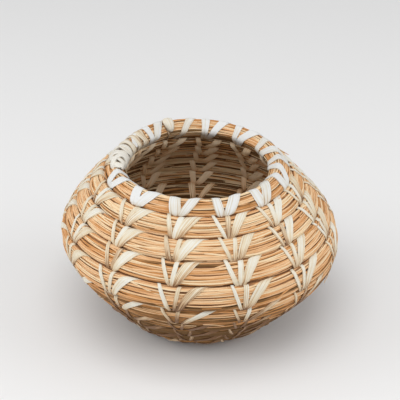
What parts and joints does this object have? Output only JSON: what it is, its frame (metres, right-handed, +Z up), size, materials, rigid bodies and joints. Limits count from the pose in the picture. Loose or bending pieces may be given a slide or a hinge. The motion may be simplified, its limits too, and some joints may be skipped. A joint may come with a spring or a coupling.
{
  "type": "coiled grass basket",
  "caption": "Small open coiled basket: one bundle of grass stems winds from the base to the rim, bound by columns of split stitches.",
  "frame": {"origin": "the middle of the basket's outline, on the surface it stands on", "axes": "+Z up through the opening, -Y towards the side the picture shows, +X to the right in the picture"},
  "size_m": [0.1261, 0.1272, 0.0865],
  "materials": {
    "foundation_coil": "golden dried grass stems, matt",
    "start_knot": "pale dried strand, matt",
    "stitch_column_01": "pale dried strand, matt",
    "stitch_column_02": "pale dried strand, matt",
    "stitch_column_03": "pale dried strand, matt",
    "stitch_column_04": "pale dried strand, matt",
    "stitch_column_05": "pale dried strand, matt",
    "stitch_column_06": "pale dried strand, matt",
    "stitch_column_07": "pale dried strand, matt",
    "stitch_column_08": "pale dried strand, matt",
    "stitch_column_09": "pale dried strand, matt",
    "stitch_column_10": "pale dried strand, matt",
    "stitch_column_11": "pale dried strand, matt",
    "stitch_column_12": "pale dried strand, matt",
    "stitch_column_13": "pale dried strand, matt",
    "rim_stitch_01": "pale dried strand, matt",
    "rim_stitch_02": "pale dried strand, matt",
    "rim_stitch_03": "pale dried strand, matt",
    "rim_stitch_04": "pale dried strand, matt",
    "rim_stitch_05": "pale dried strand, matt",
    "rim_stitch_06": "pale dried strand, matt",
    "rim_stitch_07": "pale dried strand, matt",
    "rim_stitch_08": "pale dried strand, matt",
    "rim_stitch_09": "pale dried strand, matt",
    "rim_stitch_10": "pale dried strand, matt",
    "rim_stitch_11": "pale dried strand, matt",
    "rim_stitch_12": "pale dried strand, matt",
    "rim_end_lashing": "pale dried strand, matt",
    "rim_knot": "pale dried strand, matt"
  },
  "bodies": {
    "root": {"foundation_coil": "foundation_coil", "start_knot": "start_knot", "stitch_column_01": "stitch_column_01", "stitch_column_02": "stitch_column_02", "stitch_column_03": "stitch_column_03", "stitch_column_04": "stitch_column_04", "stitch_column_05": "stitch_column_05", "stitch_column_06": "stitch_column_06", "stitch_column_07": "stitch_column_07", "stitch_column_08": "stitch_column_08", "stitch_column_09": "stitch_column_09", "stitch_column_10": "stitch_column_10", "stitch_column_11": "stitch_column_11", "stitch_column_12": "stitch_column_12", "stitch_column_13": "stitch_column_13", "rim_stitch_01": "rim_stitch_01", "rim_stitch_02": "rim_stitch_02", "rim_stitch_03": "rim_stitch_03", "rim_stitch_04": "rim_stitch_04", "rim_stitch_05": "rim_stitch_05", "rim_stitch_06": "rim_stitch_06", "rim_stitch_07": "rim_stitch_07", "rim_stitch_08": "rim_stitch_08", "rim_stitch_09": "rim_stitch_09", "rim_stitch_10": "rim_stitch_10", "rim_stitch_11": "rim_stitch_11", "rim_stitch_12": "rim_stitch_12", "rim_end_lashing": "rim_end_lashing", "rim_knot": "rim_knot"}
  },
  "joints": []
}
